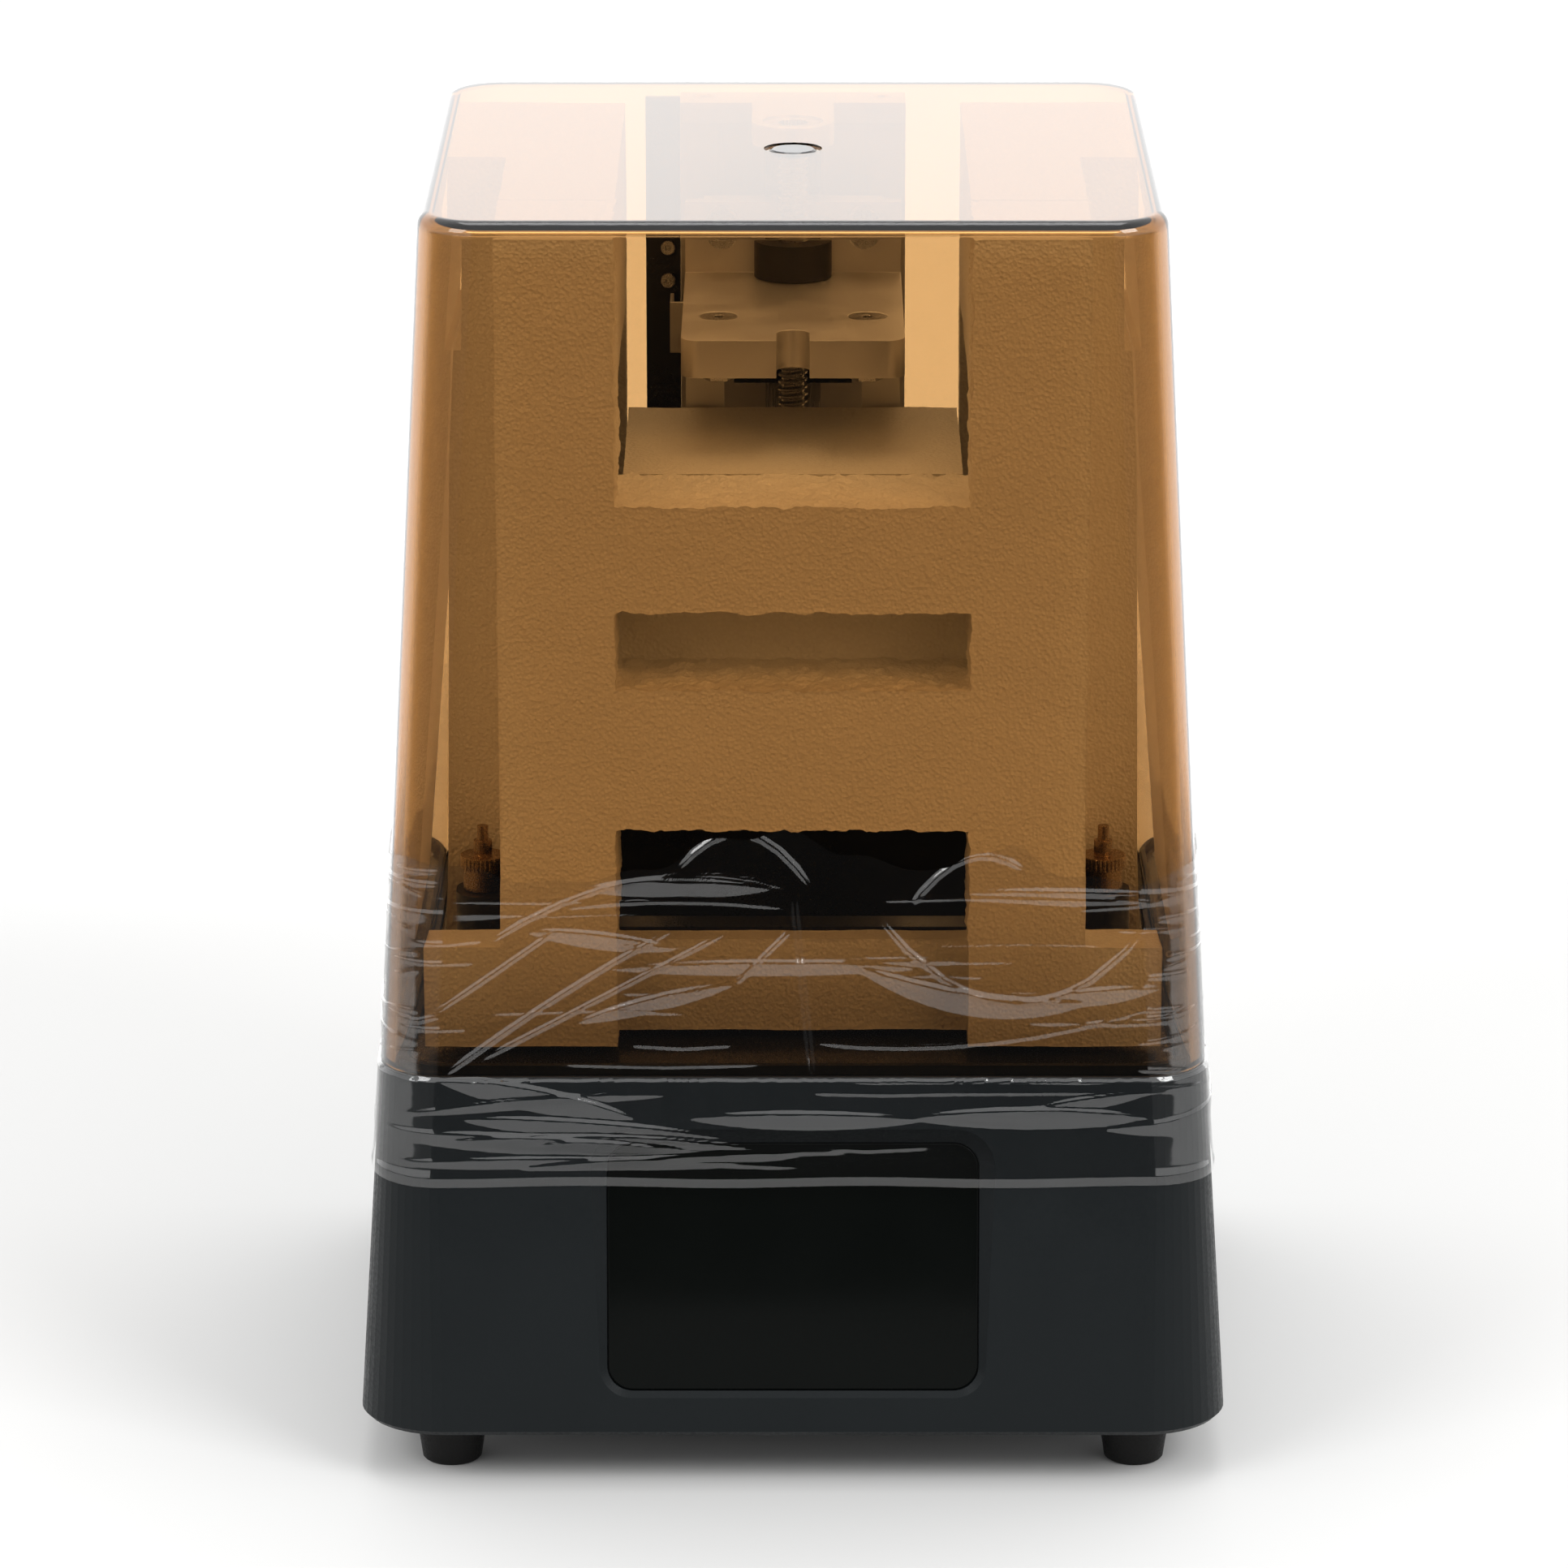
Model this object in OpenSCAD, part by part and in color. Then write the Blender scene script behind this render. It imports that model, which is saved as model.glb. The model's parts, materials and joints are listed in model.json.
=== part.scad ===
// Desktop resin printer: tapered base, amber lift-off cover, single-screw Z axis, vat and
// masking display, with the foam blocks and stretch film that it ships in.
// Origin: centre of the base on the floor. +Z up, front towards -Y.

/* [Overall] */
// Height over the cover
total_h = 330; // [325:1:335]
// Height of the rubber feet
foot_h = 15; // [12:1:16]

/* [Base] */
// Width and depth of the base at its bottom edge
base_w = 224.2; // [220:0.1:228]
// Width and depth of the base at the seam
base_top_w = 212.2; // [210:0.1:214]
// Height of the seam between base and cover
seam_z = 110; // [108:1:112]
// Wall thickness of the base
base_wall = 3; // [2.5:0.1:3.5]
// Half the distance between the feet, across
foot_x = 89; // [84:1:92]
// Half the distance between the feet, front to back
foot_y = 87; // [84:1:92]

/* [Screen] */
// Width of the touch screen's glass
glass_w = 95; // [90:1:98]
// Height of the touch screen's glass
glass_h = 65; // [60:1:66]
// Lean of the screen from upright, in degrees
screen_lean = 6; // [4:0.5:8]

/* [Cover] */
// Width and depth of the cover at the seam
cover_w = 210.8; // [209:0.1:212]
// Width and depth of the cover at the top
cover_top_w = 188.2; // [186:0.1:192]
// Wall thickness of the cover
cover_wall = 3; // [2.5:0.1:3]
// Radius of the cover's top edge
cover_edge_r = 3.5; // [2:0.5:4]

/* [Light engine] */
// Width of the masking display's lit area
lit_w = 134.4; // [120:0.1:136]
// Depth of the masking display's lit area
lit_d = 75.6; // [68:0.1:76]

/* [Z axis] */
// Width of the aluminium column
column_w = 61; // [56:1:64]
// Diameter of the lead screw
screw_d = 8; // [8:1:8]
// Width of the platform arm
arm_w = 58; // [54:1:60]
// Thickness of the platform arm
arm_t = 10; // [8:1:10]
// Height of the arm's upper face in the stored position
arm_z = 285.3; // [283:0.1:287]

/* [Packing] */
// Thickness of the stretch film
film_t = 0.35; // [0.3:0.05:0.5]
// Height of the film's lower edge
film_low_z = 82; // [78:1:90]
// Height of the film's upper edge
film_high_z = 168; // [150:1:180]

/* [Hidden] */
$fn = 48;
eps = 0.01;
gap = 0.1;               // slack between pieces that are fastened together
turn_gap = 0.05;         // running clearance of a shaft in its hole
body_gap = 0.6;          // clear space between the base and the cover

// corner radii of the shells
base_r = 22;
base_top_r = 15;
cover_r = 15;
cover_top_r = 16;

// base
edge_in = 1.4;           // how far the base's bottom edge is drawn in
roof_z = 104;            // underside of the ledge that carries the deck
deck_t = 3;
deck_z = seam_z - deck_t;
deck_w = 198;
deck_r = 10;
ledge_w = 186;
lip_w = 202.4;           // locating lip inside the cover
lip_r = 12;
lip_t = 2;
lip_h = 2.5;
seal_w = 210;
seal_t = 2.4;
bottom_z = foot_h + 1;
bottom_t = 2;
bottom_w = base_w - 2 * base_wall - 1;
boss_x = 103;
boss_y = 50;
boss_r = 6;

// screen pocket
panel_z = 59.5;
panel_y = -106.4;
glass_t = 1.2;
glass_r = 6.4;

// connector bay in the back
bay_w = 160;
bay_h = 64;
bay_z = 63;
bay_y = 103;
rear_panel_t = 2.5;
fan_x = -45;
fan_size = 60;
fan_t = 15;
fan_hole = 25;           // half the distance between the fan's screws
usb_x = 14;
dc_x = 42;
switch_x = 66;

// light engine
optics_y = -12;
glass_panel_w = 146;
glass_panel_d = 86;
led_z = 48;
led_board_t = 1.6;
tunnel_z = led_z + led_board_t + gap;
heatsink_base_t = 4;
heatsink_z = 30;
heatsink_w = 90;
heatsink_d = 56;
board_x = 72;
board_y = -5;
board_t = 1.6;
board_lift = 6;          // height of the board above the bottom plate
led_fan_z = 19;
led_fan_t = 10;

// Z axis
screw_y = 50;
column_y = 79;           // front face of the column
column_t = 10.5;
column_top = 319;
cap_t = 6;
screw_end = column_top + 3;     // top end of the lead screw, inside its bearing
column_screw_x = 20;
cap_screw_x = 24;
rail_w = 15;
rail_h = 10;
rail_gap = 0.3;
block_w = 32;
block_l = 42.1;
block_y = 63;            // front face of the rail block
block_z = 252.8;
saddle_t = 4;
wall_y = 54.4;           // front face of the arm's upright wall
wall_z = [262, 302];
bolt_x = 19;
bolt_z = [268, 297];     // the four bolts of the arm's wall
block_screw = [12.5, 10];
tab_x = -32.7;           // centre of the tab that trips the limit switch
arm_front = -28;
sensor_screw_z = [277.2, 286.4];
motor_w = 42.3;
motor_h = 40;
motor_top = deck_z - gap;
motor_hole = 15.5;
nut_r = 10.4;
nut_h = 10;

// platform
plate_z = 224;
plate_t = 10;
bracket_t = 2.5;
bracket_w = 57;
bracket_y0 = -20;
bracket_y1 = 26;
platform_screw = [19.5, 1];
bracket_screw = [18, 9];
leg_w = 10.2;
tab_w = 16.5;
tab_y0 = -6;

// vat
vat_w = 152;
vat_d = 103.5;
vat_y = -12.3;
vat_in_w = 141;
vat_in_d = 85;
vat_z = 112;
vat_top = 138;
lug_x = 82.4;
lug_top = 132.4;

// packing foam
foam_front = -88;
foam_back = -53;
foam_half = 75;
foam_low = 113;
foam_top = 325;
window_half = 44.8;
ledge_z = 256.1;
pocket_z = [208.3, 228.1];
slot_z = [142.6, 170.8];
recess_y = -74;          // set-back face below the slot
recess_z = 138;
wing_x = 94.6;           // low wings either side of the front block
wing_y = -72;
wing_z = 140;
foam_reach = 92.7;       // outer face of the side blocks, below foam_clear_z
foam_clear_z = 276;      // above this height the foam reaches in over the platform

// ---------- shared shapes ----------

// Half-width of the base's wall at height z
function base_half(z) = (base_w + (base_top_w - base_w) * (z - foot_h) / (seam_z - foot_h)) / 2;

// Half-width of the cover's wall at height z
function cover_half(z) = (cover_w + (cover_top_w - cover_w) * (z - seam_z) / (total_h - seam_z)) / 2;

// Rectangle with true round corners, centred
module rounded(w, d, r) {
    square([w - 2 * r, d], center = true);
    square([w, d - 2 * r], center = true);
    for (x = [-1, 1], y = [-1, 1]) translate([x * (w / 2 - r), y * (d / 2 - r)]) circle(r);
}

module plate(w, d, t, r, z = 0) {
    translate([0, 0, z]) linear_extrude(t) rounded(w, d, r);
}

module ring(w, d, r, t, h, z) {
    difference() {
        plate(w, d, h, r, z);
        plate(w - 2 * t, d - 2 * t, h + 2, max(r - t, 0.5), z - 1);
    }
}

// Straight taper between two rounded squares
module taper(w1, r1, z1, w2, r2, z2) {
    hull() {
        plate(w1, w1, eps, r1, z1);
        plate(w2, w2, eps, r2, z2 - eps);
    }
}

module corners(x, y) {
    for (a = [-1, 1], b = [-1, 1]) translate([a * x, b * y]) children();
}

// Draws in the screen's own plane: X across, Y up the glass, Z out of the glass
module on_screen() {
    translate([0, panel_y, panel_z]) rotate([90 - screen_lean, 0, 0]) children();
}

// Draws on the connector panel: X across, Y up, Z out of the back
module on_back(x = 0, z = bay_z, out = bay_y) {
    translate([x, out, z]) rotate([90, 0, 180]) children();
}

// Socket-head screw standing on its head's bearing face, shank downwards
module cap_screw(d, l, head_d, head_h, socket) {
    difference() {
        cylinder(d = head_d, h = head_h);
        translate([0, 0, head_h * 0.45]) cylinder(d = socket, h = head_h, $fn = 6);
    }
    translate([0, 0, -l]) cylinder(d = d, h = l);
}

// Countersunk screw with its flat top at z = 0
module flush_screw(d, l, head_d, socket) {
    head_h = (head_d - d) / 2;
    difference() {
        union() {
            translate([0, 0, -head_h]) cylinder(d1 = d, d2 = head_d, h = head_h);
            translate([0, 0, -l]) cylinder(d = d, h = l);
        }
        translate([0, 0, -head_h * 0.8]) cylinder(d = socket, h = head_h, $fn = 6);
    }
}

// Hole that takes a flush_screw with slack all round
module flush_hole(d, l, head_d) {
    head_h = (head_d - d) / 2;
    translate([0, 0, -head_h]) cylinder(d1 = d + 0.3, d2 = head_d + 0.3, h = head_h + eps);
    translate([0, 0, -l]) cylinder(d = d + 0.3, h = l + eps);
}

// ---------- base ----------

module base_solid() {
    hull() {
        plate(base_w - 2 * edge_in, base_w - 2 * edge_in, eps, base_r - edge_in, foot_h);
        plate(base_w, base_w, eps, base_r, foot_h + edge_in);
        plate(base_top_w - 1, base_top_w - 1, eps, base_top_r, seam_z - eps);
        plate(base_top_w, base_top_w, eps, base_top_r, seam_z - 0.8);
    }
}

module deck_screw_places() {
    for (a = [0 : 45 : 315]) {
        reach = 96 * (a % 90 == 0 ? 1 : 1.36);
        rotate(a) translate([reach, 0]) children();
    }
}

module base_shell() {
    color([0.14, 0.17, 0.19]) difference() {
        union() {
            difference() {
                base_solid();
                taper(base_w - 2 * base_wall, base_r - base_wall, foot_h - 1,
                      base_half(roof_z) * 2 - 2 * base_wall, base_top_r - base_wall, roof_z);
            }
            ring(lip_w, lip_w, lip_r, lip_t, lip_h + 1, seam_z - 1);
            intersection() {
                base_solid();
                on_screen() plate(glass_w + 14, glass_h + 14, 16, glass_r + 4, -6);
            }
            intersection() {
                base_solid();
                on_back() plate(bay_w + 6, bay_h + 6, 12, 6, -5);
            }
            for (s = [-1, 1], y = [-boss_y, boss_y])
                translate([s * boss_x, y, bottom_z + bottom_t + gap]) cylinder(r = boss_r, h = 24);
        }
        plate(deck_w, deck_w, 5, deck_r, deck_z);
        plate(ledge_w, ledge_w, 5, deck_r - 4, roof_z - 1);
        ring(seal_w + 2 * gap, seal_w + 2 * gap, cover_r, seal_t + 2 * gap, 3, seam_z - 1);
        on_screen() {
            hull() {
                plate(glass_w + 0.6, glass_h + 0.6, eps, glass_r, 0);
                plate(glass_w + 16.6, glass_h + 16.6, eps, glass_r + 8, 8);
            }
            plate(glass_w + 0.6, glass_h + 0.6, 2, glass_r + 0.3, -glass_t);
            plate(glass_w - 7, glass_h - 7, 20, 3, -12);
        }
        on_back() plate(bay_w, bay_h, 30, 4, -15);
        for (s = [-1, 1], y = [-boss_y, boss_y])
            translate([s * boss_x, y, bottom_z]) cylinder(r = 1.7, h = 18);
        translate([0, 0, roof_z - 1]) deck_screw_places() cylinder(r = 1.7, h = 5);
    }
}

// Fan intake below the light engine
module intake_slots() {
    for (x = [-24 : 6 : 24]) translate([x, optics_y, bottom_z - 1]) {
        linear_extrude(bottom_t + 2) rounded(2.6, 2 * sqrt(27 * 27 - x * x), 1.2);
    }
}

module bottom_plate() {
    color([0.1, 0.1, 0.11]) difference() {
        plate(bottom_w, bottom_w, bottom_t, base_r - base_wall - 0.6, bottom_z);
        intake_slots();
        translate([0, 0, bottom_z - 1]) corners(foot_x, foot_y) cylinder(r = 2.15, h = 5);
        translate([0, 0, bottom_z - 1]) corners(boss_x, boss_y) cylinder(r = 1.7, h = 5);
    }
}

module bottom_screws() {
    color([0.6, 0.6, 0.62]) {
        corners(foot_x, foot_y) translate([0, 0, foot_h - 6])
            mirror([0, 0, 1]) cap_screw(4, 11, 7, 2.6, 2.5);
        corners(boss_x, boss_y) translate([0, 0, bottom_z - gap])
            mirror([0, 0, 1]) cap_screw(3, 14, 5.5, 2, 2);
    }
}

module rubber_feet() {
    color([0.05, 0.05, 0.05]) corners(foot_x, foot_y) difference() {
        union() {
            cylinder(d1 = 14, d2 = 15.4, h = 0.8);
            translate([0, 0, 0.8]) cylinder(d1 = 15.4, d2 = 20, h = bottom_z - 0.8 - gap);
        }
        translate([0, 0, -1]) cylinder(d = 9, h = foot_h - 5 + gap);
        cylinder(d = 4.3, h = 30);
    }
}

module deck_plate() {
    color([0.2, 0.2, 0.21]) difference() {
        plate(deck_w - 2 * gap, deck_w - 2 * gap, deck_t, deck_r, deck_z);
        translate([0, optics_y, 0]) plate(glass_panel_w, glass_panel_d, 5, 3, deck_z - 1);
        translate([0, screw_y, deck_z - 1]) cylinder(r = 11.1, h = 5);
        for (s = [-1, 1]) {
            translate([s * lug_x, optics_y, deck_z - 1]) cylinder(r = 2 + turn_gap, h = 5);
            translate([s * column_screw_x, column_y + 5, deck_z - 1]) cylinder(r = 2.65, h = 5);
        }
        translate([0, 0, seam_z]) deck_screw_places() flush_hole(3, 10, 6);
        translate([0, screw_y, seam_z]) corners(motor_hole, motor_hole) flush_hole(3, 10, 5.6);
    }
}

module deck_screws() {
    color([0.35, 0.35, 0.37]) {
        translate([0, 0, seam_z - 0.05]) deck_screw_places() flush_screw(3, 7, 5.9, 2);
        translate([0, screw_y, seam_z - 0.05]) corners(motor_hole, motor_hole) flush_screw(3, 8, 5.5, 2);
    }
}

module cover_seal() {
    color([0.04, 0.04, 0.04]) ring(seal_w, seal_w, cover_r, seal_t, 1.3 - gap, seam_z - 1 + gap);
}

// ---------- touch screen ----------

module screen_glass() {
    color([0.02, 0.02, 0.02]) on_screen() plate(glass_w, glass_h, glass_t - gap, glass_r, -glass_t + gap);
}

module screen_module() {
    color([0.1, 0.25, 0.15]) on_screen() {
        plate(glass_w - 10, glass_h - 10, 3.4, 2, -glass_t - gap - 3.4);
        plate(glass_w - 3, glass_h - 3, 1.6, 2, -8);
        corners(40, 25) translate([0, 0, -6.5]) cylinder(r = 2.5, h = 2);
    }
}

// ---------- light engine ----------

module mask_lcd() {
    color([0.03, 0.03, 0.04]) translate([0, optics_y, 0])
        plate(glass_panel_w - 0.4, glass_panel_d - 0.4, 2.6, 2.8, deck_z + 0.3);
}

module lens_array() {
    lens_r = 5.4;
    color([0.85, 0.9, 0.95]) translate([0, optics_y, 0]) {
        plate(glass_panel_w - 1, lit_d + 2.4, 2.2, 2, deck_z - 2);
        for (x = [-6 : 6], y = [-3 : 3]) translate([x * 10.6, y * 10.6, deck_z - 2 + eps])
            mirror([0, 0, 1]) cylinder(r1 = lens_r * 0.8, r2 = lens_r * 0.45, h = 0.8);
    }
}

module light_tunnel() {
    top_z = deck_z - 3;
    color([0.75, 0.76, 0.78]) translate([0, optics_y, 0]) difference() {
        hull() {
            plate(86, 52, eps, 2, tunnel_z);
            plate(lit_w + 6.6, lit_d + 2.4, eps, 2, top_z - eps);
        }
        hull() {
            plate(83, 49, eps, 1, tunnel_z - 0.5);
            plate(lit_w + 3.6, lit_d + 0.4, eps, 1, top_z + 0.5);
        }
    }
}

module led_board() {
    color([0.92, 0.92, 0.9]) translate([0, optics_y, 0]) {
        plate(heatsink_w - 1, heatsink_d - 1, led_board_t, 2, led_z + gap / 2);
        for (x = [-3 : 3], y = [-1 : 1])
            translate([x * 11, y * 14, led_z + led_board_t + gap / 2 - eps])
                cylinder(r1 = 2.6, r2 = 2, h = 1.5);
    }
}

module led_heatsink() {
    pitch = 6;
    color([0.7, 0.71, 0.73]) translate([0, optics_y, 0]) {
        plate(heatsink_w, heatsink_d, heatsink_base_t, 2, led_z - heatsink_base_t);
        for (x = [-36 : pitch : 36]) translate([x - 0.8, -heatsink_d / 2, heatsink_z])
            cube([1.6, heatsink_d, led_z - heatsink_base_t - heatsink_z + eps]);
    }
}

module standoffs() {
    floor_z = bottom_z + bottom_t;
    color([0.75, 0.65, 0.3]) {
        translate([0, optics_y, floor_z]) corners(41, 22)
            cylinder(r = 3, h = led_z - heatsink_base_t - floor_z - gap);
        translate([board_x, board_y, floor_z]) corners(19, 61) cylinder(r = 2.5, h = board_lift - gap);
    }
}

// Square fan housing, centred, from z = 0 to t
module fan_frame(size, t, hub_r) {
    difference() {
        plate(size, size, t, 3);
        translate([0, 0, 1.6]) cylinder(r = size * 0.475, h = t);
        translate([0, 0, -1]) difference() {
            cylinder(r = size * 0.475, h = 4);
            cylinder(r = hub_r, h = 4);
            for (a = [0 : 120 : 240]) rotate(a + 30) translate([0, -1.5, 0]) cube([size, 3, 4]);
        }
        translate([0, 0, -1]) corners(size * 0.417, size * 0.417) cylinder(r = 1.6, h = t + 2);
    }
    translate([0, 0, 1.5]) cylinder(r = 1.5, h = t * 0.5);
}

// Impeller that turns on the fan housing's pin
module fan_rotor(size, t, hub_r) {
    blades = 7;
    difference() {
        union() {
            translate([0, 0, 2.2]) cylinder(r = hub_r, h = t - 2.8);
            for (b = [0 : blades - 1]) rotate(b * 360 / blades) translate([hub_r * 0.7, 0, t * 0.55])
                rotate([35, 0, 0]) translate([0, -0.7, -t * 0.33])
                    cube([size * 0.445 - hub_r * 0.7, 1.4, t * 0.66]);
        }
        translate([0, 0, 2]) cylinder(r = 1.5 + turn_gap, h = t * 0.5 + 0.6);
    }
}

module led_fan_frame() {
    color([0.08, 0.08, 0.08]) translate([0, optics_y, led_fan_z]) fan_frame(fan_size, led_fan_t, 12);
}

module led_fan_rotor() {
    color([0.12, 0.12, 0.12]) translate([0, optics_y, led_fan_z]) fan_rotor(fan_size, led_fan_t, 11.5);
}

// ---------- electronics ----------

module main_board() {
    board_z = bottom_z + bottom_t + board_lift;
    color([0.08, 0.3, 0.16]) translate([board_x, board_y, board_z]) {
        plate(46, 130, board_t, 2);
        translate([-9, -15, board_t - eps]) cube([16, 16, 1.6]);
        translate([-15, 13, board_t - eps]) cube([12, 12, 1.2]);
        for (y = [-55 : 14 : 43]) translate([11, y, board_t - eps]) cube([8, 10, 7]);
        for (y = [35, 47]) translate([-15, y, board_t - eps]) cylinder(r = 4, h = 10);
        translate([3, 11, board_t - eps]) cube([5, 20, 5]);
    }
}

module flat_cables() {
    color([0.85, 0.6, 0.3]) {
        translate([79, -34, 34]) cube([0.4, 44, 69.6]);
        translate([71.5, -34, 103.2]) cube([7.9, 44, 0.4]);
        translate([48, -90, 30]) cube([20, 16, 0.4]);
        translate([48, -74.4, 26]) cube([20, 0.4, 4.4]);
        translate([48, -98, 30]) cube([0.4, 8, 14]);
    }
}

module rear_panel() {
    hole_r = fan_size * 0.475;
    color([0.16, 0.16, 0.17]) on_back() difference() {
        plate(bay_w - 0.4, bay_h - 0.4, rear_panel_t, 3.8, -rear_panel_t);
        translate([-fan_x, 0, -5]) {
            cylinder(r = hole_r, h = 10);
            corners(fan_hole, fan_hole) cylinder(r = 1.65, h = 10);
        }
        translate([-usb_x, 0, -5]) linear_extrude(10) square([13.8, 6.3], center = true);
        translate([-dc_x, 0, -5]) cylinder(r = 5.6, h = 10);
        translate([-switch_x, 0, -5]) linear_extrude(10) square([13.4, 19.2], center = true);
    }
}

module dc_inlet() {
    color([0.06, 0.06, 0.06]) on_back(dc_x) {
        difference() {
            union() {
                translate([0, 0, gap]) cylinder(r = 7, h = 2);
                translate([0, 0, -13]) cylinder(r = 5.5, h = 13 + gap + eps);
            }
            translate([0, 0, -9]) cylinder(r = 3.2, h = 20);
        }
        translate([0, 0, -9.5]) cylinder(r = 1, h = 9.5);
    }
}

module usb_port() {
    color([0.7, 0.7, 0.72]) on_back(usb_x) {
        difference() {
            translate([0, 0, -14]) linear_extrude(14.6) square([13.4, 5.9], center = true);
            translate([0, 0, -13]) linear_extrude(20) square([12.5, 5.1], center = true);
        }
        translate([-5.6, 0.3, -13.5]) cube([11.2, 1.8, 11.5]);
    }
}

module switch_housing() {
    color([0.05, 0.05, 0.05]) on_back(switch_x) difference() {
        union() {
            translate([0, 0, gap]) linear_extrude(1.8) rounded(15.6, 21.4, 1);
            translate([0, 0, -12]) linear_extrude(12 + gap + eps) square([13, 18.8], center = true);
        }
        translate([0, 0, -10]) linear_extrude(20) square([9.4, 16.8], center = true);
        translate([-5.6, 0, 0]) rotate([0, 90, 0]) cylinder(r = 1 + turn_gap, h = 11.2);
    }
}

module power_rocker() {
    rest_tilt = 9;
    color([0.08, 0.08, 0.08]) on_back(switch_x) rotate([rest_tilt, 0, 0]) {
        translate([-4.4, 0, 0]) rotate([90, 0, 90]) linear_extrude(8.8)
            polygon([[-5, -5], [5, -5], [7.4, 2.6], [0, 1.4], [-7.4, 2.6]]);
        translate([-5.3, 0, 0]) rotate([0, 90, 0]) cylinder(r = 1, h = 10.6);
    }
}

module rear_fan_frame() {
    color([0.07, 0.07, 0.07]) on_back(fan_x, bay_z, bay_y - rear_panel_t - gap) mirror([0, 0, 1])
        fan_frame(fan_size, fan_t, 13);
}

module rear_fan_rotor() {
    color([0.1, 0.1, 0.1]) on_back(fan_x, bay_z, bay_y - rear_panel_t - gap) mirror([0, 0, 1])
        fan_rotor(fan_size, fan_t, 12.5);
}

module rear_fan_guard() {
    wire = 1.6;
    color([0.5, 0.5, 0.52]) on_back(fan_x) translate([0, 0, gap]) linear_extrude(wire) difference() {
        union() {
            for (r = [9 : 6 : 27]) difference() {
                circle(r + wire / 2);
                circle(r - wire / 2);
            }
            for (a = [45 : 90 : 315]) rotate(a) translate([8.6, -wire / 2]) square([25, wire]);
            corners(fan_hole, fan_hole) circle(3.4);
        }
        corners(fan_hole, fan_hole) circle(1.65);
    }
}

module fan_screws() {
    color([0.6, 0.6, 0.62]) on_back(fan_x) corners(fan_hole, fan_hole)
        translate([0, 0, 1.8]) cap_screw(3, 14, 5.5, 2.2, 2);
}

// ---------- Z axis, fixed parts ----------

module z_column() {
    groove = 1.2;
    color([0.76, 0.77, 0.78]) difference() {
        translate([-column_w / 2, column_y, seam_z]) cube([column_w, column_t, column_top - seam_z]);
        for (x = [-19.5, 19.5]) translate([x - groove / 2, column_y - 1, seam_z - 1])
            cube([groove, 2, column_top]);
        for (s = [-1, 1]) {
            translate([s * column_screw_x, column_y + 5, seam_z - 1]) cylinder(r = 2.65, h = 16);
            translate([s * cap_screw_x, column_y + 5, column_top - 12]) cylinder(r = 1.65, h = 16);
        }
    }
}

module column_cap() {
    color([0.72, 0.73, 0.74]) difference() {
        union() {
            translate([-column_w / 2, column_y - 4, column_top]) cube([column_w, column_t + 4, cap_t]);
            translate([-11, screw_y, column_top]) cube([22, column_y - screw_y, cap_t]);
            translate([0, screw_y, column_top]) cylinder(r = 11, h = cap_t);
        }
        translate([0, screw_y, column_top - 1]) cylinder(r = 8, h = cap_t + 2);
        for (s = [-1, 1])
            translate([s * cap_screw_x, column_y + 5, column_top + cap_t]) flush_hole(3, 10, 6);
    }
}

module column_screws() {
    color([0.4, 0.4, 0.42]) for (s = [-1, 1]) {
        translate([s * column_screw_x, column_y + 5, deck_z - gap])
            mirror([0, 0, 1]) cap_screw(5, 14, 8.5, 5, 4);
        translate([s * cap_screw_x, column_y + 5, column_top + cap_t - 0.05]) flush_screw(3, 14, 5.9, 2);
    }
}

module top_bearing() {
    color([0.8, 0.8, 0.82]) translate([0, screw_y, column_top + 0.5]) difference() {
        cylinder(r = 8 - 0.02, h = 5);
        translate([0, 0, -1]) cylinder(r = screw_d / 2 + turn_gap, h = 7);
    }
}

module linear_rail() {
    color([0.82, 0.83, 0.85]) difference() {
        translate([-rail_w / 2, column_y - rail_h, 118]) cube([rail_w, rail_h - eps, 196]);
        for (s = [-1, 1]) translate([s * rail_w / 2, column_y - rail_h * 0.62, 117])
            cylinder(r = 1.6, h = 200, $fn = 24);
        for (z = [128 : 40 : 308]) translate([0, column_y - rail_h - 1, z]) rotate([-90, 0, 0]) {
            cylinder(r = 3, h = 5.5);
            cylinder(r = 1.75, h = 20);
        }
    }
}

module z_motor() {
    color([0.12, 0.12, 0.13]) translate([0, screw_y, motor_top]) difference() {
        union() {
            translate([0, 0, -motor_h]) linear_extrude(motor_h) rounded(motor_w, motor_w, 4);
            cylinder(r = 11, h = 2);
        }
        translate([0, 0, -motor_h + 4]) cylinder(r = 2.5 + turn_gap, h = motor_h + 2);
        corners(motor_hole, motor_hole) translate([0, 0, -8]) cylinder(r = 1.7, h = 12);
    }
}

module lead_screw() {
    color([0.8, 0.8, 0.82]) translate([0, screw_y, 0]) {
        translate([0, 0, motor_top - motor_h + 6]) cylinder(r = 2.5, h = motor_h);
        translate([0, 0, seam_z + 2]) cylinder(r = screw_d / 2, h = screw_end - seam_z - 2);
    }
}

module sensor_plate() {
    color([0.04, 0.04, 0.04]) difference() {
        translate([-40, column_y + 3, seam_z]) cube([9.4, 2.2, 215]);
        for (z = sensor_screw_z) translate([-34, column_y, z])
            rotate([-90, 0, 0]) cylinder(r = 1.25, h = 10);
    }
}

module sensor_screws() {
    color([0.6, 0.6, 0.62]) for (z = sensor_screw_z) translate([-34, column_y + 3 - gap, z])
        rotate([90, 0, 0]) cap_screw(2, 3, 4, 1.6, 1.5);
}

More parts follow.
